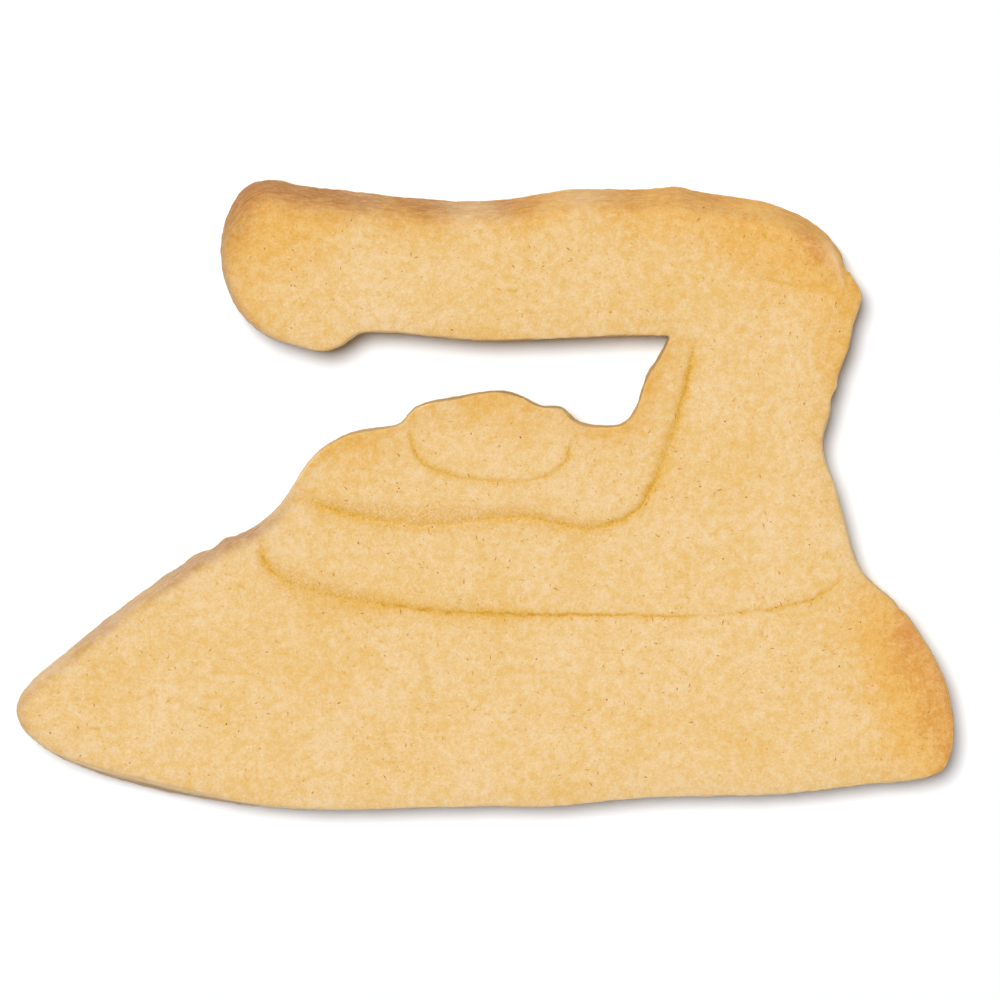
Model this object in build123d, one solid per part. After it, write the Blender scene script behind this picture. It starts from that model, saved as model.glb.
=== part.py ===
from build123d import *
import math
import os

# A cut-out butter biscuit in the shape of a clothes iron, lying face up.
# It is one piece of baked dough. The cutter gives the outline, and its inner
# ridges press three lines into the face: round the thermostat knob, under the
# bonnet and along the top of the soleplate.
# X runs from the toe (-) to the heel (+), Y from the soleplate (-) to the back
# of the handle (+), and Z up out of the face. Z 0 is the flat underside, and
# the origin is the middle of the outline's box. All sizes are in millimetres.

# Driving dimensions
THICKNESS = 6.5  # baked height of the rolled dough
FOOT_TUCK = 0.6  # how far the underside's rim is tucked in
EDGE_SLOPE, EDGE_ROUND = 0.02, 0.12  # how far the wall leans in, and its rim rounds over
BACK_SLOPE, BACK_ROUND = 1.1, 1.3  # the same on the back of the handle, where the dough slumped
BACK_START, BACK_FULL = 18.0, 25.0  # Y between which the wall changes to that
SOFT_PLACES = [  # (x, y, reach, extra slope) where the wall slumped a little
    (-22.3, 20.0, 6.0, 0.35), (-28.0, -25.3, 11.0, 0.7), (-29.0, -8.0, 9.0, 0.5),
]

# The wall from the underside up: (height, shares of the foot's tuck, the slope and the rounding)
WALL = [
    (0.0, 1.0, 0.0, 0.0),
    (0.4, 0.35, 0.0, 0.0),
    (1.0, 0.05, 0.0, 0.0),
    (2.0, 0.0, 0.02, 0.0),
    (3.6, 0.0, 0.3, 0.02),
    (4.9, 0.0, 0.62, 0.1),
    (5.7, 0.0, 0.84, 0.3),
    (6.2, 0.0, 0.96, 0.6),
    (THICKNESS, 0.0, 1.0, 1.0),
]

# The outline at its widest level, as stretches of smooth curve that follow on
# from each other, clockwise from the one sharp corner: the end of the grip's gap.
GAP_CORNER = (15.85, 13.65)
GRIP_UNDERSIDE = [GAP_CORNER, (11.6, 13.6), (6.5, 13.4), (0.9, 13.2), (-3.8, 13.5), (-8.5, 13.9)]
GRIP_END = [
    (-8.5, 13.9), (-10.7, 13.75), (-11.9, 12.95), (-13.6, 12.3), (-15.8, 12.7), (-18.5, 13.6),
    (-20.9, 15.6), (-22.2, 18.4), (-22.5, 21.3), (-21.6, 24.7), (-20.1, 26.5), (-18.5, 26.9),
]
GRIP_BACK = [
    (-18.5, 26.9), (-15.8, 26.5), (-11.9, 25.95), (-6.4, 25.35), (0.3, 25.1), (2.6, 25.3),
    (6.0, 25.9), (11.6, 26.1), (14.2, 26.1), (16.2, 26.3), (18.4, 25.9), (22.3, 25.3),
    (26.1, 24.3), (28.7, 22.7), (30.2, 21.0), (30.9, 19.7),
]
REAR = [
    (30.9, 19.7), (31.5, 18.4), (32.1, 17.0), (31.6, 15.2), (31.1, 12.8), (30.2, 10.4),
    (29.3, 6.5), (28.85, 4.7), (29.1, 3.0), (29.8, 1.1), (30.5, -1.3), (31.2, -3.9), (32.1, -6.3),
]
HEEL = [
    (32.1, -6.3), (33.5, -7.8), (35.7, -9.8), (37.4, -12.2), (38.9, -14.8), (39.7, -17.3),
    (40.0, -19.5), (39.8, -21.9), (39.2, -23.3), (37.8, -24.0),
]
SOLE = [
    (37.8, -24.0), (33.8, -24.5), (27.0, -25.3), (20.1, -25.6), (13.3, -25.8), (9.0, -26.2),
    (6.0, -26.5), (0.5, -26.5), (-7.2, -26.7), (-15.0, -26.9), (-20.9, -26.5), (-26.1, -25.65),
    (-31.2, -24.4), (-35.5, -22.85), (-38.2, -21.2),
]
TOE = [(-38.2, -21.2), (-39.6, -19.7), (-40.0, -18.3), (-39.2, -16.5), (-36.3, -13.9)]
BONNET = [
    (-36.3, -13.9), (-32.0, -10.4), (-26.9, -6.7), (-22.5, -4.1), (-20.9, -3.4), (-18.7, -2.1),
    (-17.0, -0.2), (-15.4, 2.3), (-13.7, 4.1), (-11.3, 5.3), (-8.5, 5.8), (-7.1, 6.2),
    (-6.0, 7.4), (-4.8, 7.9),
]
KNOB_RIM = [
    (-4.8, 7.9), (-2.1, 8.4), (0.5, 8.9), (2.0, 8.8), (3.4, 8.3), (4.9, 7.6), (6.5, 7.5),
    (7.7, 6.5), (8.9, 6.0),
]
GRIP_POST = [
    (8.9, 6.0), (10.4, 5.9), (11.8, 6.1), (12.7, 7.0), (13.25, 8.3), (13.85, 10.1), (14.95, 11.9),
    GAP_CORNER,
]
STRETCHES = [
    GRIP_UNDERSIDE, GRIP_END, GRIP_BACK, REAR, HEEL, SOLE, TOE, BONNET, KNOB_RIM, GRIP_POST,
]

# The pressed lines on the face: where the ridge ran, and its radius
BONNET_LINE = [
    (-14.9, -0.4), (-11.5, -1.5), (-7.2, -2.2), (-4.1, -2.4), (-1.2, -2.1), (1.3, -1.8),
    (4.0, -1.8), (6.6, -2.4), (9.0, -2.7), (11.4, -2.1), (13.2, -0.9), (14.4, 1.1),
    (15.3, 3.4), (16.3, 6.3), (17.2, 9.7), (18.0, 13.1),
]
SOLEPLATE_LINE = [
    (-18.9, -4.3), (-18.5, -5.9), (-17.1, -7.2), (-14.8, -8.0), (-11.5, -8.8), (-7.2, -9.4),
    (-1.9, -9.9), (4.0, -10.1), (17.6, -10.2), (22.7, -9.8), (27.3, -9.0), (29.6, -7.7),
]
KNOB_LINE = [
    (-6.1, 4.8), (-5.7, 3.6), (-4.6, 2.4), (-1.9, 1.6), (1.3, 1.3), (4.0, 1.4),
    (6.1, 2.2), (7.0, 3.3), (7.3, 4.6),
]
PRESSED_LINES = [(BONNET_LINE, 0.50), (SOLEPLATE_LINE, 0.42), (KNOB_LINE, 0.38)]
RIDGE_LIFT = 0.2  # the ridge's middle stood this far above the face


def ramp(value, start, end):
    """0 below start, 1 above end, and smooth between."""
    share = min(1.0, max(0.0, (value - start) / (end - start)))
    return share * share * (3 - 2 * share)


def travel_directions(stretches):
    """Each point's direction of travel along the closed outline, stretch by stretch."""
    loop = [Vector(*p) for stretch in stretches for p in stretch[:-1]]
    ahead = [(b - a).normalized() for a, b in zip(loop, loop[1:] + loop[:1])]
    mean = [(ahead[i - 1] + ahead[i]).normalized() for i in range(len(loop))]
    directions = []
    first = 0
    for stretch in stretches:
        last = first + len(stretch) - 1
        directions.append([mean[i % len(loop)] for i in range(first, last + 1)])
        first = last
    return directions


def lean(point, direction):
    """How far the wall at this point of the outline leans in, and how far its rim rounds over."""
    faces_back = max(0.0, direction.X)  # 1 where the wall faces the back of the handle
    slumped = ramp(point[1], BACK_START, BACK_FULL) * ramp(faces_back, 0.0, 0.8)
    slope = EDGE_SLOPE + (BACK_SLOPE - EDGE_SLOPE) * slumped
    for x, y, reach, extra in SOFT_PLACES:
        away = math.hypot(point[0] - x, point[1] - y) / reach
        slope += extra * math.exp(-away * away)
    return slope, EDGE_ROUND + (BACK_ROUND - EDGE_ROUND) * slumped


def section(height, tuck_share, slope_share, round_share):
    """The outline at one height, as a flat face."""
    edges = []
    directions = travel_directions(STRETCHES)
    for number, stretch in enumerate(STRETCHES):
        points = []
        for point, direction in zip(stretch, directions[number]):
            inward = Vector(direction.Y, -direction.X)
            slope, rounding = lean(point, direction)
            inset = FOOT_TUCK * tuck_share + slope * slope_share + rounding * round_share
            points.append(Vector(*point) + inward * inset)
        start, end = directions[number][0], directions[number][-1]
        if number == 0:
            start = (points[1] - points[0]).normalized()
        if number == len(STRETCHES) - 1:
            end = (points[-1] - points[-2]).normalized()
        edges.append(Spline(*points, tangents=(start, end), tangent_scalars=(1, 1)))
    return Pos(0, 0, height) * make_face(Wire(edges))


def pressed_line(route, radius):
    """The groove that one ridge of the cutter leaves, with a round end at each end."""
    height = THICKNESS + RIDGE_LIFT
    path = Spline(*[(x, y, height) for x, y in route])
    groove = sweep(Plane(origin=path @ 0, z_dir=path % 0) * Circle(radius), path=path)
    ends = [Pos(*(path @ share)) * Sphere(radius) for share in (0, 1)]
    return [groove, *ends]


def biscuit():
    """The whole biscuit: the lofted blank with its three pressed lines."""
    body = loft([section(*level) for level in WALL], ruled=True)
    for route, radius in PRESSED_LINES:
        for tool in pressed_line(route, radius):
            body -= tool
    return body


os.makedirs("parts", exist_ok=True)
body = biscuit()
print("volume", round(body.volume), "mm3", "valid", body.is_valid)
export_step(body, "parts/biscuit.step")
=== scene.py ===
import math

import bpy
import numpy as np
from mathutils import Matrix, Vector, noise
from mathutils.kdtree import KDTree


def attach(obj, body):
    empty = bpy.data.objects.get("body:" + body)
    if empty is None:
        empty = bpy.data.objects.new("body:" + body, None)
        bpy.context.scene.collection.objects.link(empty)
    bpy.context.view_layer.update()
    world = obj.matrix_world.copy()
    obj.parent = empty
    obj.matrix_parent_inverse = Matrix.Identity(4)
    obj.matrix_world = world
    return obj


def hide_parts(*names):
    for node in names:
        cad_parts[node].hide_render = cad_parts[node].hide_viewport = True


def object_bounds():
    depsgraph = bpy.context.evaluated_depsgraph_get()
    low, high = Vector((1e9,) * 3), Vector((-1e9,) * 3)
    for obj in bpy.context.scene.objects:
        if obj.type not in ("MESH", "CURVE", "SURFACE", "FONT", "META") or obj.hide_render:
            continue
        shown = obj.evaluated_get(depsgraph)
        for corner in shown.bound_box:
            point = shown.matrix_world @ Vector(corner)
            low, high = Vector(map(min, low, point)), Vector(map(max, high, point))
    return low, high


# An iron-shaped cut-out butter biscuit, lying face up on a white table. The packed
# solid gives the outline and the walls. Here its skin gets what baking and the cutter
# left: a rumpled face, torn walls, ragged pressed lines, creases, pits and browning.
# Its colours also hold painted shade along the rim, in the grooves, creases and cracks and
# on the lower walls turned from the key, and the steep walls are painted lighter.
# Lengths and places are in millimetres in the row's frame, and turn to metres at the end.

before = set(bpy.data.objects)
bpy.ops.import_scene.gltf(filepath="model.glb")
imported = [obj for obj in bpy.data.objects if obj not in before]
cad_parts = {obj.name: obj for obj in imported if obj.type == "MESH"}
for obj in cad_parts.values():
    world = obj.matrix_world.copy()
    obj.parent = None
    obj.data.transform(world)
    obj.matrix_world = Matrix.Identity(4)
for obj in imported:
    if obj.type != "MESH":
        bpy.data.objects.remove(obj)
cad_low, cad_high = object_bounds()

MM = 0.001
BODY = "root"
FACE_Z = cad_high.z / MM  # height of the unpressed face
SKIN_STEP = 0.15  # size of the skin's squares
ROUGH_TRIANGLES = 60_000  # what the walls and underside keep when they are thinned
RNG = np.random.default_rng(7)

# ---------------------------------------------------------------- small maths


def smoothstep(low, high, value):
    """0 below low, 1 above high, and smooth between."""
    t = np.clip((value - low) / (high - low), 0, 1)
    return t * t * (3 - 2 * t)


def bumps(points, size, seed, octaves=1):
    """Smooth noise, about -1 to 1, with bumps about size across."""
    shift = np.array([13.7, 71.3, 37.9]) * (seed + 1)
    if octaves == 1:
        return np.array([noise.noise(p) for p in points / size + shift])
    return np.array([noise.fractal(p, 1.0, 2.0, octaves) for p in points / size + shift])


def smooth_path(points, step=0.08):
    """Points close together along a Catmull-Rom curve through points, in the plane."""
    p = np.array(points, float)
    p = np.vstack([2 * p[0] - p[1], p, 2 * p[-1] - p[-2]])
    made = []
    for a, b, c, d in zip(p, p[1:], p[2:], p[3:]):
        count = max(2, int(np.linalg.norm(c - b) / step))
        t = np.linspace(0, 1, count, endpoint=False)[:, None]
        cubic = (c - a) * t + (2 * a - 5 * b + 4 * c - d) * t**2 + (3 * b - a - 3 * c + d) * t**3
        made.append(b + 0.5 * cubic)
    return np.vstack([*made, p[-2:-1]])


def flat_tree(xy):
    """A tree that finds the nearest of these points, seen from above."""
    tree = KDTree(len(xy))
    for i, (x, y) in enumerate(xy):
        tree.insert((x, y, 0), i)
    tree.balance()
    return tree


def beside(path, xy):
    """For each point, how far it lies from the path, positive on its left, and its share of the way."""
    tree = flat_tree(path)
    found = [tree.find((x, y, 0))[1:] for x, y in xy]
    nearest = np.array([i for i, _ in found])
    distance = np.array([d for _, d in found])
    ahead = np.gradient(path, axis=0)
    off = xy - path[nearest]
    left = ahead[nearest, 0] * off[:, 1] - ahead[nearest, 1] * off[:, 0]
    return np.where(left < 0, -distance, distance), nearest / (len(path) - 1)


def spots(xy, places):
    """The sum of soft round spots, each (x, y, radius, strength)."""
    total = np.zeros(len(xy))
    for x, y, radius, strength in places:
        total += strength * np.exp(-((xy[:, 0] - x) ** 2 + (xy[:, 1] - y) ** 2) / radius**2)
    return total


# ---------------------------------------------------------------- the skin's mesh

WIDEST = (1.5, 2.3)  # the heights between which the wall stands furthest out


def remeshed(source):
    """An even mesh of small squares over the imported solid, in millimetres."""
    mesh = source.data.copy()
    mesh.transform(Matrix.Scale(1 / MM, 4))
    piece = bpy.data.objects.new("biscuit_skin", mesh)
    bpy.context.scene.collection.objects.link(piece)
    modifier = piece.modifiers.new("even", "REMESH")
    modifier.mode = "VOXEL"
    modifier.voxel_size = SKIN_STEP
    apply_modifiers(piece)
    return piece


def apply_modifiers(piece):
    """Turns the piece's modifiers into its own mesh."""
    depsgraph = bpy.context.evaluated_depsgraph_get()
    made = bpy.data.meshes.new_from_object(piece.evaluated_get(depsgraph))
    piece.modifiers.clear()
    piece.data = made


def coordinates(mesh):
    """The mesh's vertices, one row each."""
    co = np.zeros(len(mesh.vertices) * 3)
    mesh.vertices.foreach_get("co", co)
    return co.reshape(-1, 3)


def normals(mesh, co):
    """Moves the mesh's vertices to co, and returns their normals."""
    mesh.vertices.foreach_set("co", co.astype(np.float32).ravel())
    mesh.update()
    n = np.zeros(len(mesh.vertices) * 3, np.float32)
    mesh.vertex_normals.foreach_get("vector", n)
    return n.reshape(-1, 3).astype(float)


def relaxed(mesh, co, rounds):
    """The vertices with the squares' small steps evened out, each towards its neighbours' mean."""
    edges = np.zeros(len(mesh.edges) * 2, np.int32)
    mesh.edges.foreach_get("vertices", edges)
    a, b = edges.reshape(-1, 2).T
    ends = np.concatenate([a, b])
    others = np.concatenate([b, a])
    count = np.bincount(ends, minlength=len(co))
    for _ in range(rounds):
        mean = [np.bincount(ends, co[others, k], len(co)) / count for k in range(3)]
        co = co + 0.5 * (np.stack(mean, axis=1) - co)
    return co


def rim_distance(co, n):
    """How far each vertex lies from the wall's widest level, seen from above."""
    wall = (co[:, 2] > WIDEST[0]) & (co[:, 2] < WIDEST[1]) & (abs(n[:, 2]) < 0.5)
    tree = flat_tree(co[wall, :2])
    return np.array([tree.find((x, y, 0))[2] for x, y in co[:, :2]])


# ---------------------------------------------------------------- pressed lines

# The cutter's three ridges, from left to right: close to the solid's own, with faint ends added
BONNET_LINE = [
    (-15.3, -0.3), (-11.5, -1.5), (-7.2, -2.2), (-4.1, -2.4), (-1.2, -2.1), (1.3, -1.8),
    (4.0, -1.8), (6.6, -2.4), (9.0, -2.7), (11.4, -2.1), (13.2, -0.9), (14.4, 1.1),
    (15.3, 3.4), (16.3, 6.3), (17.2, 9.7), (18.0, 13.3),
]
SOLEPLATE_LINE = [
    (-19.0, -3.8), (-18.8, -5.3), (-17.9, -6.5), (-16.3, -7.4), (-14.0, -8.2), (-11.5, -8.8),
    (-7.2, -9.4), (-1.9, -9.9), (4.0, -10.1), (10.8, -10.1), (17.6, -10.2), (22.7, -9.8),
    (27.3, -9.0), (29.6, -7.7), (30.6, -6.4),
]
KNOB_LINE = [
    (-6.4, 5.2), (-5.9, 3.7), (-4.7, 2.5), (-1.9, 1.6), (1.3, 1.3), (4.0, 1.4),
    (6.1, 2.2), (7.0, 3.3), (7.4, 4.8),
]

# How each line changes along its way: (share of the way, depth, width of the torn side
# towards the handle, width of the side towards the soleplate, reach of the brown and painted shade, its
# strength)
BONNET_PRESS = [
    (0.00, 0.05, 0.60, 0.55, 0.55, 0.50), (0.04, 0.14, 0.90, 0.55, 0.78, 1.06),
    (0.12, 0.14, 1.90, 0.50, 0.66, 0.94), (0.22, 0.14, 2.00, 0.50, 0.78, 0.69),
    (0.30, 0.14, 1.90, 0.50, 0.94, 0.62), (0.37, 0.14, 1.20, 0.44, 0.86, 0.81),
    (0.46, 0.14, 0.90, 0.55, 0.78, 0.94), (0.54, 0.12, 0.90, 0.44, 0.70, 0.88),
    (0.62, 0.14, 0.60, 0.39, 0.46, 1.12), (0.70, 0.14, 0.50, 0.39, 0.44, 1.12),
    (0.78, 0.11, 0.50, 0.66, 0.58, 0.81), (0.87, 0.12, 0.50, 0.55, 0.50, 1.06),
    (0.95, 0.12, 0.40, 0.44, 0.41, 1.19), (1.00, 0.04, 0.30, 0.33, 0.35, 0.38),
]
SOLEPLATE_PRESS = [
    (0.00, 0.06, 0.25, 0.28, 0.32, 0.65), (0.03, 0.11, 0.50, 0.55, 0.57, 1.10),
    (0.06, 0.12, 1.00, 0.99, 0.86, 0.91), (0.10, 0.11, 1.20, 0.99, 1.35, 0.72),
    (0.16, 0.11, 1.20, 0.77, 1.29, 0.81), (0.22, 0.11, 0.90, 0.66, 0.79, 0.91),
    (0.28, 0.11, 0.40, 0.44, 0.37, 1.17), (0.34, 0.11, 0.40, 0.77, 0.65, 1.04),
    (0.40, 0.11, 0.30, 0.77, 0.61, 1.10), (0.47, 0.11, 0.25, 0.55, 0.48, 1.10),
    (0.55, 0.08, 0.22, 0.33, 0.28, 1.12), (0.62, 0.07, 0.20, 0.24, 0.21, 0.95),
    (0.71, 0.06, 0.20, 0.24, 0.21, 0.84), (0.76, 0.02, 0.20, 0.22, 0.21, 0.34),
    (0.82, 0.05, 0.25, 0.33, 0.28, 0.62), (0.91, 0.06, 0.30, 0.39, 0.31, 0.84),
    (0.96, 0.04, 0.20, 0.28, 0.23, 0.67), (1.00, 0.01, 0.15, 0.17, 0.18, 0.22),
]
KNOB_PRESS = [
    (0.00, 0.05, 0.25, 0.25, 0.26, 0.72), (0.08, 0.11, 0.25, 0.25, 0.25, 1.30),
    (0.15, 0.08, 0.25, 0.25, 0.30, 0.96), (0.30, 0.08, 0.30, 0.35, 0.40, 0.90),
    (0.45, 0.06, 0.22, 0.30, 0.37, 0.60), (0.60, 0.04, 0.20, 0.25, 0.33, 0.54),
    (0.72, 0.05, 0.20, 0.25, 0.35, 0.72), (0.84, 0.05, 0.20, 0.25, 0.33, 0.72),
    (0.96, 0.09, 0.22, 0.22, 0.25, 1.20), (1.00, 0.03, 0.20, 0.20, 0.22, 0.48),
]
PRESSED = [(BONNET_LINE, BONNET_PRESS), (SOLEPLATE_LINE, SOLEPLATE_PRESS), (KNOB_LINE, KNOB_PRESS)]
PRESS_REACH = 2.6  # how far from a ridge's middle it changed the face
CUT_REACH = 1.0  # how far from it the solid's own groove is flattened out first
FACE_DEPTH, FACE_INSET = 0.8, 0.9  # the face lies above this depth, and this far in from the rim
CORE_REACH = 0.12  # half the width of the darker thread along a line's bottom, painted shade with some browning


def near_route(path, co, face, reach):
    """The face's vertices within reach of a route, and where each lies beside it."""
    low, high = path.min(0) - reach, path.max(0) + reach
    near = np.nonzero(face & np.all((co[:, :2] > low) & (co[:, :2] < high), axis=1))[0]
    side, share = beside(path, co[near, :2])
    within = abs(side) < reach
    return near[within], side[within], share[within]


def pressed_lines(co, face):
    """The face without the solid's plain grooves, then with ragged ones; and each one's tone, baked
    brown and painted shade.
    """
    tone = np.zeros(len(co))
    torn = np.zeros(len(co))
    sink = np.zeros(len(co))
    for number, (route, press) in enumerate(PRESSED):
        path = smooth_path(route)
        near, side, share = near_route(path, co, face, PRESS_REACH)
        flat = near[abs(side) < CUT_REACH]
        co[flat, 2] = FACE_Z
        side = side + 0.12 * bumps(co[near], 1.1, 20 + number)
        side = side + 0.08 * bumps(co[near], 0.35, 30 + number)
        stops = np.array(press).T
        depth, up, down, reach, dark = [np.interp(share, stops[0], row) for row in stops[1:]]
        across = np.where(side > 0, side / up, -side / down)
        dip = np.clip(1 - across, 0, 1) ** 1.3
        sink[near] = np.maximum(sink[near], depth * dip)
        crumbly = 1 + 0.35 * bumps(co[near], 0.8, 40 + number)
        crumbly += 0.25 * bumps(co[near], 0.3, 50 + number)
        soft = np.exp(-((abs(side) / reach) ** 1.4))
        core = np.exp(-((side / CORE_REACH) ** 2))
        # baked brown and painted shade along the groove, darkest at its bottom
        brown = dark * (0.85 * soft + 0.2 * core) * crumbly
        tear = smoothstep(0.5, 1.2, up) * smoothstep(0.0, 0.5, 1 - across) * (side > -0.2)
        tone[near] = np.maximum(tone[near], np.maximum(brown, 0.3 * tear * crumbly))
        torn[near] = np.maximum(torn[near], tear)
    co[:, 2] -= sink
    return tone, torn


# Creases and folds in the face, darker along them with brown and painted shade: (route, lift, reach, how
# brown)
CREASES = [
    ([(23.6, 18.9), (24.3, 18.4), (25.2, 18.2), (26.9, 17.8)], -0.05, 0.20, 0.55),
    ([(26.9, 17.8), (28.5, 17.9), (30.0, 18.2)], -0.04, 0.18, 0.3),
    ([(30.3, 18.7), (31.0, 18.9)], -0.12, 0.14, 0.6),
    ([(30.9, 19.2), (31.3, 18.6)], -0.20, 0.30, 0.2),
    ([(23.7, 22.4), (24.0, 21.9)], -0.10, 0.13, 0.9),
    ([(-5.4, -12.9), (-4.9, -15.2), (-4.4, -17.6)], -0.04, 0.25, 0.25),
    ([(-8.5, -19.5), (-8.3, -21.2), (-7.6, -22.6)], -0.05, 0.25, 0.35),
    ([(-27.1, -20.4), (-26.8, -21.3), (-26.6, -22.3)], 0.08, 0.38, 0.2),
    ([(-33.3, -14.3), (-32.5, -15.9)], -0.05, 0.22, 0.35),
    ([(-32.6, -17.7), (-32.5, -19.0)], -0.05, 0.20, 0.35),
    ([(-33.6, -19.8), (-32.6, -19.8)], -0.08, 0.13, 0.8),
    ([(-24.4, -18.0), (-23.3, -18.3)], -0.08, 0.12, 0.6),
    ([(-20.9, -7.6), (-20.3, -7.9)], -0.08, 0.12, 0.7),
    ([(-17.9, -12.3), (-17.3, -12.6)], -0.08, 0.12, 0.7),
    ([(2.1, -18.5), (2.9, -18.3)], -0.08, 0.12, 0.8),
    ([(13.8, -19.4), (14.5, -19.6)], -0.08, 0.12, 0.7),
    ([(2.0, 17.6), (2.5, 17.4), (3.0, 17.7)], -0.08, 0.12, 0.8),
]


def creases(co, upper, tone):
    """Lifts or sinks the face along each crease, and adds brown and painted shade to its tone."""
    for route, lift, reach, brown in CREASES:
        near, side, share = near_route(smooth_path(route), co, upper, 3 * reach)
        ends = np.clip(8 * share * (1 - share), 0.25, 1)
        side = side + 0.35 * reach * bumps(co[near], 0.7, 60)
        bell = np.exp(-((side / reach) ** 2)) * ends
        co[near, 2] += lift * bell
        tone[near] += brown * bell


# The flap at the shoulder, where dough folds over the face: its free edge, from the back down
FLAP_EDGE = [(29.3, 22.4), (29.7, 21.1), (30.1, 19.8), (30.4, 18.7), (30.6, 18.0)]
FLAP_REACH = (0.95, 0.25)  # how wide it is at its start and at its end
FLAP_LIFT = 0.16


def flap(co, upper):
    """Lifts the flap up to its sharp edge; returns how far each vertex is on it."""
    near, side, share = near_route(smooth_path(FLAP_EDGE), co, upper, 2.0)
    reach = np.interp(share, (0, 1), FLAP_REACH)
    bell = np.exp(-((side / np.where(side < 0, reach, 0.08)) ** 2)) * smoothstep(0, 0.35, share)
    co[near, 2] += FLAP_LIFT * bell
    on_flap = np.zeros(len(co))
    on_flap[near] = bell
    return on_flap


# Knocks that push the wall out (+) or in (-): (x, y, radius, how far)
KNOCKS = [
    (31.2, 19.7, 0.60, -0.45), (32.0, 17.4, 0.9, 0.05), (29.9, 9.4, 0.5, 0.15),
    (29.6, 8.2, 0.5, -0.15), (-22.0, -3.9, 0.6, 0.16), (-24.8, -5.4, 0.7, 0.14),
    (-23.4, -4.6, 0.5, -0.14), (-27.2, -7.0, 0.7, 0.04), (35.4, -9.6, 0.5, -0.15),
    (-16.0, 26.5, 0.6, -0.10),
]

# ---------------------------------------------------------------- browning, and walls painted lighter

BROWNED = [  # golden-brown places on the face and walls: (x, y, reach, strength)
    (38.0, -17.0, 5.5, 0.60), (35.6, -10.6, 4.0, 0.58), (38.9, -22.0, 3.5, 0.40),
    (-19.8, 23.5, 5.0, 0.55), (-14.0, 25.4, 3.5, 0.45), (-6.0, 25.0, 3.5, 0.42), (4.0, 25.0, 3.5, 0.36),
    (14.0, 25.4, 4.0, 0.42), (28.6, 21.2, 5.0, 0.58), (21.0, 24.6, 4.0, 0.44), (30.6, 12.4, 2.5, 0.28),
    (30.4, 6.0, 3.5, 0.16), (-11.5, 3.6, 2.6, 0.14), (0.9, 6.9, 3.0, 0.12), (11.0, 5.4, 2.0, 0.16),
    (14.1, 9.4, 2.2, 0.06), (-35.5, -18.9, 4.5, 0.10), (-20.9, 16.0, 3.5, 0.18), (-15.0, 3.0, 6.0, 0.08),
]
UPPER_BROWN = 0.05  # the half with the handle is this much browner
GOLDEN_WALLS = [  # steep walls that baked golden, painted lighter for the light they miss: (x, y, reach, strength)
    (-8.0, 26.0, 7.0, 0.25), (4.0, 26.0, 7.0, 0.7), (14.0, 26.5, 6.0, 0.7), (23.0, 25.5, 6.0, 0.7),
    (-11.0, 6.0, 6.0, 0.9), (1.0, 8.6, 6.0, 1.0), (11.5, 6.2, 4.0, 1.0), (14.5, 11.0, 4.0, 0.8),
    (31.5, 19.0, 8.0, 0.9), (38.5, -14.0, 9.0, 0.5),
]
TOASTED = [  # rims that baked a duller, pinker brown: (x, y, reach, strength, how far in)
    (-20.5, 26.0, 4.0, 0.95, 2.1), (-13.0, 26.4, 4.5, 0.88, 2.2), (-5.0, 25.9, 4.5, 0.82, 2.2),
    (2.5, 25.5, 3.5, 0.68, 2.0), (11.0, 26.4, 5.0, 0.60, 2.0), (19.0, 26.0, 4.0, 0.56, 2.0),
    (27.0, 24.0, 4.0, 0.48, 1.7), (-22.5, 20.5, 4.5, 0.34, 0.8), (-20.0, 15.0, 3.0, 0.25, 0.7),
    (-20.0, -3.0, 4.0, 0.66, 0.9), (-26.0, -6.5, 4.5, 0.68, 1.1), (-33.0, -11.5, 4.5, 0.62, 1.0),
    (-39.0, -17.0, 3.5, 0.35, 0.9), (-30.0, -25.0, 7.0, 0.20, 1.0), (39.8, -18.0, 5.0, 0.10, 0.5),
]
UNDER_BROWN = 0.42  # how far the underside browned
UNDER_PITS = 0.06  # depth of the underside's pits

# ---------------------------------------------------------------- making the skin

UPPER_FROM = 3.0  # above this height, creases and the flap shape the skin
FACE_SWELLS = [(0.07, 9.0, 1), (0.03, 2.6, 2)]  # its slow rise and fall: (height, size, seed)
FACE_CRUMB = (0.012, 0.55)  # height and size of its crumb
WALL_LAYERS = (0.08, 2.6)  # depth and size of the walls' layered tears
LAYERS_FLATTER = 4.0  # those are this many times longer than they are high
WALL_CRUMB = (0.06, 0.7)
TORN_CRUMB = (0.05, 0.4)
PIT_SIZE = 0.9
FACE_UP = 0.5  # the face is what faces up more than this


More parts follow.
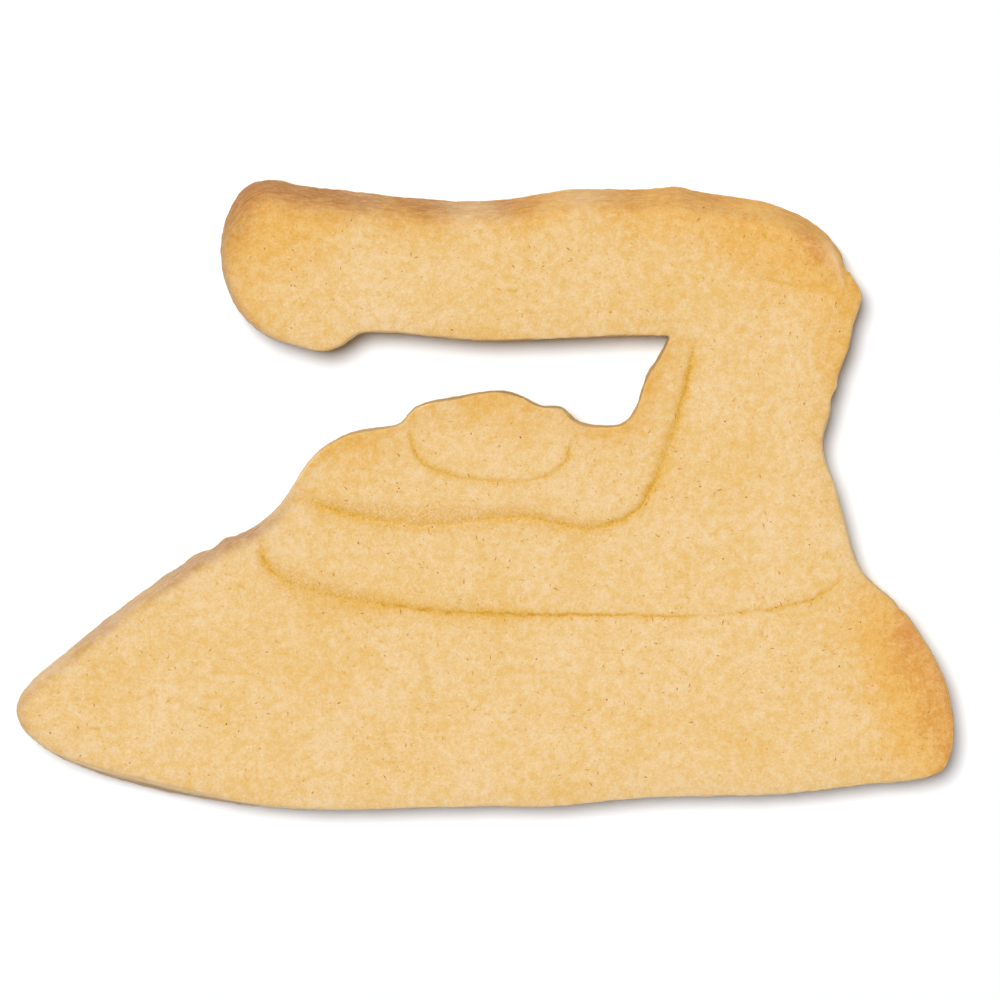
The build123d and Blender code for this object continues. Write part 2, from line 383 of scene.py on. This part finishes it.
class Skin:
    """The skin while it is shaped: where each vertex is, its normal, and what it belongs to."""

    def __init__(self, piece):
        self.mesh = piece.data
        self.co = relaxed(self.mesh, coordinates(self.mesh), 1)
        self.n = normals(self.mesh, self.co)
        self.rim = rim_distance(self.co, self.n)

    def shape_face(self):
        """What the cutter and the handling left: pressed lines, creases and the flap."""
        face = (self.co[:, 2] > FACE_Z - FACE_DEPTH) & (self.rim > FACE_INSET)
        self.tone, self.torn = pressed_lines(self.co, face)
        self.upper = self.co[:, 2] > UPPER_FROM
        creases(self.co, self.upper, self.tone)
        self.on_flap = flap(self.co, self.upper)
        self.n = normals(self.mesh, self.co)

    def tell_sides(self):
        """How far each vertex belongs to the face, the wall and the underside, 0 to 1."""
        self.upward = smoothstep(0.3, 0.9, self.n[:, 2])
        self.wall = smoothstep(0.25, 0.8, 1 - abs(self.n[:, 2])) * (self.rim < 2.8)
        self.under = smoothstep(0.3, 0.9, -self.n[:, 2])

    def roughen(self):
        """The face's slow rise and fall and its crumb; the walls' knocks and tears; the pits below."""
        standing = self.wall * smoothstep(0.0, 0.6, self.co[:, 2])
        self.co += self.n * (standing * spots(self.co[:, :2], KNOCKS))[:, None]
        swell = sum(height * bumps(self.co, size, seed) for height, size, seed in FACE_SWELLS)
        self.co[:, 2] += self.upward * swell
        layered = self.co * np.array([1.0, 1.0, LAYERS_FLATTER])
        rough = self.upward * FACE_CRUMB[0] * bumps(self.co, FACE_CRUMB[1], 3, 2)
        rough += standing * WALL_LAYERS[0] * bumps(layered, WALL_LAYERS[1], 4, 2)
        rough += standing * WALL_CRUMB[0] * bumps(self.co, WALL_CRUMB[1], 5, 3)
        rough += self.torn * TORN_CRUMB[0] * bumps(self.co, TORN_CRUMB[1], 6, 2)
        pits = smoothstep(-0.1, 0.5, bumps(self.co, PIT_SIZE, 7, 2))
        rough -= self.under * UNDER_PITS * pits
        self.co += self.n * rough[:, None]
        self.co[:, 2] = np.clip(self.co[:, 2], 0, None)
        self.n = normals(self.mesh, self.co)

    def put(self, name, values):
        """Stores one value per vertex, which the dough's material reads by this name."""
        attribute = self.mesh.attributes.new(name, "FLOAT", "POINT")
        attribute.data.foreach_set("value", values.astype(np.float32))

    def browned(self, golden_rim_and_painted_light):
        """How golden-brown each vertex baked, before mottling."""
        made = spots(self.co[:, :2], BROWNED)
        made += (0.04 + 0.46 * golden_rim_and_painted_light) * np.exp(-self.rim / 1.2) * self.upward
        made += UPPER_BROWN * smoothstep(-12.0, 3.0, self.co[:, 1]) * self.upward
        return made * (1 - self.under) + UNDER_BROWN * self.under

    def toasted(self):
        """How far each vertex baked to the duller brown, which fades towards the foot."""
        made = np.zeros(len(self.co))
        for x, y, reach, strength, inward in TOASTED:
            near_rim = smoothstep(1.5 * inward, 0.3 * inward, self.rim)
            made += spots(self.co[:, :2], [(x, y, reach, strength)]) * near_rim
        return made * (0.35 + 0.65 * smoothstep(0.3, 2.3, self.co[:, 2])) * (1 - self.under)

    def put_all(self):
        """Stores everything that the dough's material reads."""
        mottle = 1 + 0.18 * bumps(self.co, 3.0, 8) + 0.12 * bumps(self.co, 1.1, 9)
        golden_rim_and_painted_light = np.clip(spots(self.co[:, :2], GOLDEN_WALLS), 0, 1)
        self.put("browned", np.clip(self.browned(golden_rim_and_painted_light) * mottle, 0, 1))
        self.put("toasted", np.clip(self.toasted() * mottle, 0, 1))
        # painted shade along the face's rim, darkest at the rim
        self.put("edge", np.exp(-self.rim / 1.1) * self.upward)
        # golden baked walls, painted lighter to make up for the light they miss
        self.put("golden_wall_painted_light", golden_rim_and_painted_light * self.wall)
        self.put("wall", self.wall)
        # painted shade: the lower walls on the key's far side, which the foot's tone darkens
        turned_away = np.clip(0.3 + 0.6 * self.n[:, 0] - 0.8 * self.n[:, 1], 0, 1)
        self.put("foot", self.wall * turned_away * smoothstep(5.6, 3.6, self.co[:, 2]))
        self.put("pressed", np.clip(self.tone, 0, 1.3))
        self.put("torn", self.torn)
        self.put("pale", 0.7 * self.on_flap)


def thinned(piece, face):
    """Fewer triangles on the walls and the underside, while the face keeps all of its own."""
    mesh = piece.data
    group = piece.vertex_groups.new(name="thin")
    group.add(np.nonzero(~face)[0].tolist(), 1.0, "REPLACE")
    kept = np.count_nonzero(face) * 2
    mesh.calc_loop_triangles()
    modifier = piece.modifiers.new("thin", "DECIMATE")
    modifier.vertex_group = group.name
    modifier.ratio = (kept + ROUGH_TRIANGLES) / len(mesh.loop_triangles)
    apply_modifiers(piece)
    piece.vertex_groups.clear()


piece = remeshed(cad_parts["biscuit"])
skin = Skin(piece)
skin.shape_face()
skin.tell_sides()
skin.roughen()
skin.put_all()
piece.data.transform(Matrix.Scale(MM, 4))
thinned(piece, skin.n[:, 2] > FACE_UP)
piece.data.polygons.foreach_set("use_smooth", np.ones(len(piece.data.polygons), bool))

# ---------------------------------------------------------------- dough material

LIGHT_LEVEL = 1.15  # how bright a white face looks under the lights
COLOUR_A, COLOUR_B, COLOUR_RESULT = 6, 7, 2  # a colour Mix node's sockets
WHITE = (1, 1, 1, 1)


def tint(red, green, blue):
    """The colour that looks like these display values, 0 to 255, under the lights."""
    values = [v / 255 for v in (red, green, blue)]
    linear = [v / 12.92 if v < 0.04045 else ((v + 0.055) / 1.055) ** 2.4 for v in values]
    return (*[min(0.95, v / LIGHT_LEVEL) for v in linear], 1)


class Nodes:
    """Short ways to add shader nodes to one material."""

    def __init__(self, name):
        self.material = bpy.data.materials.new(name)
        self.material.use_nodes = True
        self.tree = self.material.node_tree
        self.shader = self.tree.nodes["Principled BSDF"]
        self.place = self.add("ShaderNodeTexCoord").outputs["Object"]

    def add(self, kind, **settings):
        """A new node with these settings."""
        made = self.tree.nodes.new(kind)
        for key, value in settings.items():
            setattr(made, key, value)
        return made

    def feed(self, socket, value):
        """Gives the socket a plain value, or links another node's output to it."""
        if isinstance(value, bpy.types.NodeSocket):
            self.tree.links.new(value, socket)
        else:
            socket.default_value = value

    def noise(self, size_mm, detail=2.0, roughness=0.5, squash=None):
        """Noise of this size, 0 to 1, which squash makes finer along some axes."""
        made = self.add("ShaderNodeTexNoise")
        place = self.place
        if squash:
            stretch = self.add("ShaderNodeVectorMath", operation="MULTIPLY")
            self.feed(stretch.inputs[0], place)
            stretch.inputs[1].default_value = squash
            place = stretch.outputs[0]
        self.feed(made.inputs["Vector"], place)
        made.inputs["Scale"].default_value = 1 / (size_mm * MM)
        made.inputs["Detail"].default_value = detail
        made.inputs["Roughness"].default_value = roughness
        return made.outputs["Fac"]

    def shaded(self, colour, level):
        """The colour, darker or lighter by level."""
        made = self.add("ShaderNodeMix", data_type="RGBA", blend_type="MULTIPLY")
        made.inputs["Factor"].default_value = 1.0
        self.feed(made.inputs[COLOUR_A], colour)
        self.feed(made.inputs[COLOUR_B], level)
        return made.outputs[COLOUR_RESULT]

    def span(self, value, low, high, to_low=0.0, to_high=1.0):
        """The value from low to high, turned smoothly into to_low to to_high."""
        made = self.add("ShaderNodeMapRange", interpolation_type="SMOOTHSTEP")
        self.feed(made.inputs["Value"], value)
        limits = {"From Min": low, "From Max": high, "To Min": to_low, "To Max": to_high}
        for name, limit in limits.items():
            made.inputs[name].default_value = limit
        return made.outputs["Result"]

    def math(self, operation, a, b, clamp=False):
        """Two numbers put together."""
        made = self.add("ShaderNodeMath", operation=operation, use_clamp=clamp)
        self.feed(made.inputs[0], a)
        self.feed(made.inputs[1], b)
        return made.outputs[0]

    def mix(self, share, a, b):
        """Colour a, changed to colour b by this share."""
        made = self.add("ShaderNodeMix", data_type="RGBA")
        self.feed(made.inputs["Factor"], share)
        self.feed(made.inputs[COLOUR_A], a)
        self.feed(made.inputs[COLOUR_B], b)
        return made.outputs[COLOUR_RESULT]

    def toned(self, colour, share, tone):
        """The colour, multiplied by tone where share is 1 and left alone where it is 0."""
        return self.shaded(colour, self.mix(share, WHITE, tone))

    def attribute(self, name):
        """A value stored at each of the skin's vertices."""
        return self.add("ShaderNodeAttribute", attribute_name=name).outputs["Fac"]

    def bump(self, height, distance_mm, under=None):
        """The normal over fine relief this deep, on top of another one if given."""
        made = self.add("ShaderNodeBump")
        self.feed(made.inputs["Height"], height)
        made.inputs["Distance"].default_value = distance_mm * MM
        if under:
            self.feed(made.inputs["Normal"], under)
        return made.outputs["Normal"]


# The dough's colours, pale and golden, as they look under the lights
CRUMB_COLOURS = tint(243, 211, 162), tint(235, 188, 106)
AMBER = tint(228, 176, 96)
# the walls' crumb: painted paler than the face's, to make up for the light the steep walls miss
WALL_COLOURS = tint(248, 222, 176), tint(240, 204, 144)
# golden walls: baked golden, and painted lighter to make up for the light they miss
GOLDEN_AND_PAINTED_LIGHT_WALL_COLOURS = tint(255, 220, 150), tint(252, 200, 112)
FLAP_COLOUR = tint(240, 200, 150)
TORN_COLOURS = tint(244, 206, 158), tint(226, 178, 112)
# the pressed lines' golden brown and its deeper tone: partly baking, partly painted shade in the grooves
PRESSED_COLOUR, PRESSED_DEEP = tint(226, 172, 64), tint(206, 144, 48)

# What those are multiplied by. The rim's tone is painted shade along the face's rim.
# The foot's tone isn't baking: it is painted shade that makes the lower walls on the
# key's far side darker than dough is, so that the shadow is deep where it meets the biscuit.
RIM_PAINTED_SHADE = (0.93, 0.945, 0.995, 1)
FOOT_PAINTED_SHADE = (0.60, 0.49, 0.42, 1)
TOASTED_TONE = (0.56, 0.40, 0.385, 1)
GOLDEN_TONE = (0.98, 0.84, 0.52, 1)
BROWN_TONE = (0.86, 0.58, 0.36, 1)


def mottling(m, grain):
    """Fine, middling and coarse mottling together."""
    blotch = m.noise(0.8, 2, 0.5)
    patch = m.noise(4.5, 3, 0.55)
    blend = m.math("ADD", m.math("MULTIPLY", grain, 0.37), m.math("MULTIPLY", blotch, 0.36))
    return m.math("ADD", blend, m.math("MULTIPLY", patch, 0.27))


def raw_colour(m, blend):
    """The face's crumb and the walls' one, painted paler for the light the steep walls miss, before
    browning.
    """
    golden = m.span(blend, 0.33, 0.67)
    colour = m.mix(golden, *CRUMB_COLOURS)
    amber = m.span(m.noise(0.7, 2, 0.5), 0.60, 0.75, 0.0, 0.45)
    colour = m.mix(amber, colour, AMBER)
    on_wall = m.math("MULTIPLY", m.attribute("wall"), 0.85)
    colour = m.mix(on_wall, colour, m.mix(golden, *WALL_COLOURS))
    return m.mix(m.attribute("golden_wall_painted_light"), colour, m.mix(golden, *GOLDEN_AND_PAINTED_LIGHT_WALL_COLOURS))


def baked(m, colour, blend):
    """The colour with painted shade along the rim and on the far lower walls, the toasted streaks and
    the browned places.
    """
    colour = m.toned(colour, m.attribute("edge"), RIM_PAINTED_SHADE)
    colour = m.toned(colour, m.attribute("foot"), FOOT_PAINTED_SHADE)
    streak = m.span(m.noise(1.2, 5, 0.75, squash=(1, 1, 4)), 0.3, 0.7, 0.65, 1.35)
    toasted = m.math("MULTIPLY", m.attribute("toasted"), streak, clamp=True)
    colour = m.toned(colour, toasted, TOASTED_TONE)
    browned = m.math("MULTIPLY", m.attribute("browned"), m.span(blend, 0.3, 0.7, 0.8, 1.2))
    heat = m.mix(m.span(browned, 0.0, 0.5), WHITE, GOLDEN_TONE)
    heat = m.mix(m.span(browned, 0.5, 1.1), heat, BROWN_TONE)
    return m.shaded(colour, heat)


def marked(m, colour):
    """The colour with the pale flap, the torn places, and the grainy brown and painted shade of the
    pressed lines and creases.
    """
    colour = m.mix(m.attribute("pale"), colour, FLAP_COLOUR)
    speckle = m.noise(0.2, 3, 0.7)
    torn_colour = m.mix(m.span(speckle, 0.42, 0.58), *TORN_COLOURS)
    colour = m.mix(m.math("MULTIPLY", m.attribute("torn"), 0.5), colour, torn_colour)
    grainy = m.math("MULTIPLY", m.attribute("pressed"), m.span(speckle, 0.35, 0.65, 0.65, 1.25))
    colour = m.mix(m.math("MULTIPLY", grainy, 1.05, clamp=True), colour, PRESSED_COLOUR)
    return m.mix(m.span(grainy, 0.85, 1.35, 0.0, 0.6), colour, PRESSED_DEEP)


def dough_material():
    """Matt, sugary dough whose colour follows the skin's stored values."""
    m = Nodes("baked_dough")
    grain = m.noise(0.2, 3, 0.65)
    blend = mottling(m, grain)
    colour = marked(m, baked(m, raw_colour(m, blend), blend))
    sugar = m.span(m.noise(0.11, 1, 0.5), 0.25, 0.75, 0.94, 1.05)
    m.feed(m.shader.inputs["Base Color"], m.shaded(colour, sugar))
    m.feed(m.shader.inputs["Roughness"], m.span(grain, 0.3, 0.7, 0.72, 0.9))
    m.shader.inputs["Specular IOR Level"].default_value = 0.25
    crumb = m.bump(m.noise(0.8, 3, 0.6), 0.02)
    m.feed(m.shader.inputs["Normal"], m.bump(grain, 0.02, crumb))
    return m.material


def fleck_material(name, light, dark):
    """One kind of fleck, mottled between two tones."""
    m = Nodes(name)
    mottle = m.noise(0.08, 2, 0.5)
    m.feed(m.shader.inputs["Base Color"], m.mix(m.span(mottle, 0.3, 0.7), light, dark))
    m.feed(m.shader.inputs["Roughness"], m.span(mottle, 0.3, 0.7, 0.7, 0.9))
    m.feed(m.shader.inputs["Normal"], m.bump(mottle, 0.01))
    return m.material


piece.data.materials.clear()
piece.data.materials.append(dough_material())
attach(piece, BODY)
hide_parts("biscuit")

# ---------------------------------------------------------------- flecks in the face

BRAN, CARAMEL, CRUMB, CRACK = range(4)
FLECKS = [  # the ones that stand out: (x, y, length, width, turn in degrees, kind)
    (18.8, 25.3, 0.35, 0.30, 0, BRAN), (27.2, 7.9, 0.30, 0.20, 20, BRAN),
    (20.5, 6.4, 0.30, 0.22, 70, BRAN), (18.4, 0.9, 0.28, 0.22, 0, BRAN),
    (22.3, 0.0, 0.28, 0.20, 40, BRAN), (16.0, 0.0, 0.25, 0.20, 10, BRAN),
    (30.2, 14.1, 0.30, 0.22, 0, BRAN), (10.7, 15.6, 0.45, 0.35, 30, CARAMEL),
    (20.4, -5.4, 0.28, 0.20, 0, BRAN), (16.0, -9.9, 0.28, 0.22, 0, BRAN),
    (27.7, -4.2, 0.28, 0.20, 60, BRAN), (24.8, -9.5, 0.25, 0.20, 0, BRAN),
    (10.5, -17.3, 0.30, 0.22, 20, BRAN), (10.1, -14.5, 0.35, 0.28, 70, CARAMEL),
    (11.8, -13.2, 0.25, 0.2, 0, BRAN), (4.4, -13.9, 0.30, 0.22, 0, BRAN),
    (16.4, -16.5, 0.28, 0.22, 0, BRAN), (30.3, -14.5, 0.30, 0.22, 0, BRAN),
    (32.0, -10.8, 0.25, 0.20, 0, BRAN), (-36.9, -20.2, 0.35, 0.22, 100, BRAN),
    (-34.4, -22.2, 0.30, 0.2, 0, BRAN), (-22.0, -19.5, 0.35, 0.25, 60, BRAN),
    (-24.3, -18.1, 0.25, 0.20, 0, BRAN), (-30.2, -22.7, 0.28, 0.2, 0, BRAN),
    (-16.5, 14.4, 0.28, 0.22, 0, BRAN), (-2.7, 14.2, 0.35, 0.22, 0, BRAN),
    (-1.1, 5.4, 0.28, 0.22, 80, BRAN), (3.1, 5.1, 0.40, 0.25, 120, BRAN),
    (1.3, 4.3, 0.25, 0.18, 0, BRAN), (-4.4, -2.6, 0.28, 0.2, 0, BRAN),
    (-4.0, -6.6, 0.40, 0.15, -20, BRAN), (-10.7, -4.0, 0.42, 0.20, 120, BRAN),
    (-7.4, 1.2, 0.20, 0.20, 0, BRAN), (-7.3, 0.7, 0.24, 0.24, 0, BRAN),
    (-7.4, 0.3, 0.20, 0.20, 0, BRAN), (0.4, 0.2, 0.50, 0.35, 100, CRUMB),
    (9.6, -11.8, 0.45, 0.40, 0, CRUMB), (-3.9, -20.0, 0.70, 0.40, 80, CRUMB),
    (23.9, 22.0, 0.65, 0.20, 50, CRACK), (26.1, 21.0, 0.55, 0.14, 10, CRACK),
    (27.4, 19.8, 0.5, 0.14, 40, CRACK), (22.4, 24.9, 0.50, 0.16, 40, CRACK),
    (22.1, 22.2, 0.50, 0.14, 60, CRACK), (28.5, 21.2, 0.22, 0.2, 0, BRAN),
    (28.1, 21.5, 0.22, 0.18, 0, BRAN), (27.3, 23.4, 0.20, 0.18, 0, BRAN),
    (-11.3, 23.5, 0.50, 0.14, 60, CRACK), (-9.4, 22.1, 0.30, 0.12, 60, CRACK),
    (-14.8, 20.0, 0.40, 0.14, -20, CRACK), (-16.5, 19.3, 0.4, 0.14, -50, CRACK),
    (-16.4, 18.0, 0.45, 0.16, 60, CRACK), (-8.4, 18.6, 0.70, 0.35, 20, CRUMB),
    (-15.6, 16.9, 0.2, 0.18, 0, BRAN),
]
SCATTERED = [  # (how many, shortest, longest, width as a share of the length, kind)
    (650, 0.12, 0.24, 0.8, CARAMEL), (60, 0.14, 0.22, 0.8, BRAN), (340, 0.28, 0.65, 0.26, CARAMEL),
    (180, 0.30, 0.70, 0.25, CRACK), (60, 0.30, 0.60, 0.6, CRUMB),
]
FLECK_HEIGHT = 0.03  # how thick a fleck is above and below its middle
FLECK_SUNK = 0.3  # its middle lies this share of that below the skin
STEEPEST_FLECK = 0.6  # flecks lie only where the skin faces up more than this
FLECK_BEND = 0.25  # how far a long fleck's ends curl to one side
FLECK_COLOURS = [  # one kind a row: (name, light, dark)
    ("bran", tint(184, 118, 44), tint(146, 86, 26)),
    ("caramel", tint(226, 168, 68), tint(208, 142, 44)),
    ("toasted_crumb", tint(236, 188, 104), tint(228, 172, 82)),
    # crack flecks: golden crack edges, darkened with the painted shade of the crack
    ("crack_edge_and_shade", tint(206, 144, 50), tint(182, 116, 32)),
]


def all_flecks():
    """The named flecks, then the scattered ones at random places of the face."""
    level = (skin.n[:, 2] > 0.9) & (skin.rim > 1.6) & (skin.co[:, 2] > FACE_Z - 1)
    face_points = skin.co[level]
    made = list(FLECKS)
    for count, shortest, longest, width_share, kind in SCATTERED:
        for x, y, _ in RNG.choice(face_points, count):
            length = RNG.uniform(shortest, longest)
            made.append((x, y, length, length * width_share, RNG.uniform(0, 180), kind))
    return made


def fleck_points(place, normal, length, width, turn):
    """A fleck's two ends and two sides, then its top and bottom, on the skin at this place."""
    angle = math.radians(turn)
    heading = np.array([math.cos(angle), math.sin(angle), 0])
    heading -= normal * (heading @ normal)
    along = 0.5 * length * heading
    across = 0.5 * width * np.cross(normal, heading)
    bend = FLECK_BEND * (length - width) * across / width
    up = FLECK_HEIGHT * normal
    middle = place - FLECK_SUNK * up
    return [middle + step for step in (along + bend, across, bend - along, -across, up, -up)]


def flecks_piece():
    """One piece with every fleck: small eight-sided bits sunk into the face."""
    skyward = (skin.n[:, 2] > STEEPEST_FLECK) & skin.upper
    places, directions = skin.co[skyward], skin.n[skyward]
    tree = flat_tree(places[:, :2])
    points, faces, kinds = [], [], []
    for x, y, length, width, turn, kind in all_flecks():
        below = tree.find((x, y, 0))[1]
        first = len(points)
        points += fleck_points(places[below], directions[below], length, width, turn)
        for k in range(4):
            a, b = first + k, first + (k + 1) % 4
            faces += [(a, b, first + 4), (b, a, first + 5)]
            kinds += [kind, kind]
    made = bpy.data.meshes.new("flecks")
    made.from_pydata((np.array(points) * MM).tolist(), [], faces)
    for name, light, dark in FLECK_COLOURS:
        made.materials.append(fleck_material(name, light, dark))
    made.polygons.foreach_set("material_index", kinds)
    flecks = bpy.data.objects.new("bran_flecks", made)
    bpy.context.scene.collection.objects.link(flecks)
    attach(flecks, BODY)


flecks_piece()

# ---------------------------------------------------------------- stage, light, camera

FLOOR_HALF = 3.0  # half the floor's width, in metres
FLOOR_COLOUR = (0.875, 0.90, 0.93, 1)


def white_floor():
    """A plain matt white table."""
    mesh = bpy.data.meshes.new("floor")
    half = FLOOR_HALF
    corners = [(-half, -half, 0), (half, -half, 0), (half, half, 0), (-half, half, 0)]
    mesh.from_pydata(corners, [], [(0, 1, 2, 3)])
    floor = bpy.data.objects.new("floor", mesh)
    bpy.context.scene.collection.objects.link(floor)
    m = Nodes("white_table")
    m.shader.inputs["Base Color"].default_value = FLOOR_COLOUR
    m.shader.inputs["Roughness"].default_value = 1.0
    m.shader.inputs["Specular IOR Level"].default_value = 0.0
    mesh.materials.append(m.material)


KEY_LEVEL = 1.03  # how bright the key alone makes a white face that it shines straight at
SKY_LEVEL = 0.08  # the same of the sky
SHADOW_SHIFT = (0.80, -0.97)  # where the key puts the shadow of the face's edge, in millimetres
KEY_BLUR, FILL_BLUR = math.radians(17.5), math.radians(10)  # how wide each lamp looks
FILLS = [  # low soft lights on the walls: (where it stands, level)
    ((-0.5, 1.0, 0.14), 0.30), ((-0.2, -1.0, 0.11), 0.26), ((1.0, -0.2, 0.11), 0.16),
]


def far_lamp(name, level, blur, place):
    """A distant lamp that shines from place towards the origin."""
    data = bpy.data.lights.new(name, "SUN")
    data.energy = level * math.pi
    data.angle = blur
    lamp = bpy.data.objects.new(name, data)
    bpy.context.scene.collection.objects.link(lamp)
    lamp.rotation_mode = "QUATERNION"
    lamp.rotation_quaternion = (-Vector(place)).to_track_quat("-Z", "Y")


def lights():
    """The key, the fills, and a weak sky that the camera sees as plain white."""
    far_lamp("softbox_key", KEY_LEVEL, KEY_BLUR, (-SHADOW_SHIFT[0], -SHADOW_SHIFT[1], FACE_Z))
    for number, (place, level) in enumerate(FILLS):
        far_lamp(f"softbox_fill_{number + 1}", level, FILL_BLUR, place)
    world = bpy.data.worlds.new("studio")
    bpy.context.scene.world = world
    world.use_nodes = True
    tree = world.node_tree
    background = tree.nodes["Background"]
    background.inputs["Color"].default_value = WHITE
    path = tree.nodes.new("ShaderNodeLightPath")
    level = tree.nodes.new("ShaderNodeMapRange")
    level.inputs["To Min"].default_value = SKY_LEVEL
    level.inputs["To Max"].default_value = 1.0
    tree.links.new(path.outputs["Is Camera Ray"], level.inputs["Value"])
    tree.links.new(level.outputs["Result"], background.inputs["Strength"])


LENS, SENSOR = 400.0, 36.0  # the lens's length and the sensor's width, in millimetres
VIEW_WIDTH = 85.56  # what the picture takes in, in millimetres
VIEW_CENTRE = (1.33, -0.49, 1.5)
VIEW_TILT = math.radians(2)  # the camera stands this far towards the handle's back


def camera():
    """A long lens, nearly straight above the face."""
    data = bpy.data.cameras.new("camera")
    data.lens = LENS
    data.sensor_width = SENSOR
    data.clip_start = 0.01
    data.clip_end = 50
    made = bpy.data.objects.new("camera", data)
    bpy.context.scene.collection.objects.link(made)
    back = Vector((0, math.sin(VIEW_TILT), math.cos(VIEW_TILT)))
    distance = VIEW_WIDTH * LENS / SENSOR
    made.location = (Vector(VIEW_CENTRE) + back * distance) * MM
    made.rotation_euler = (-VIEW_TILT, 0, 0)
    bpy.context.scene.camera = made


white_floor()
lights()
camera()
scene = bpy.context.scene
scene.view_settings.view_transform = "Standard"
scene.view_settings.look = "None"
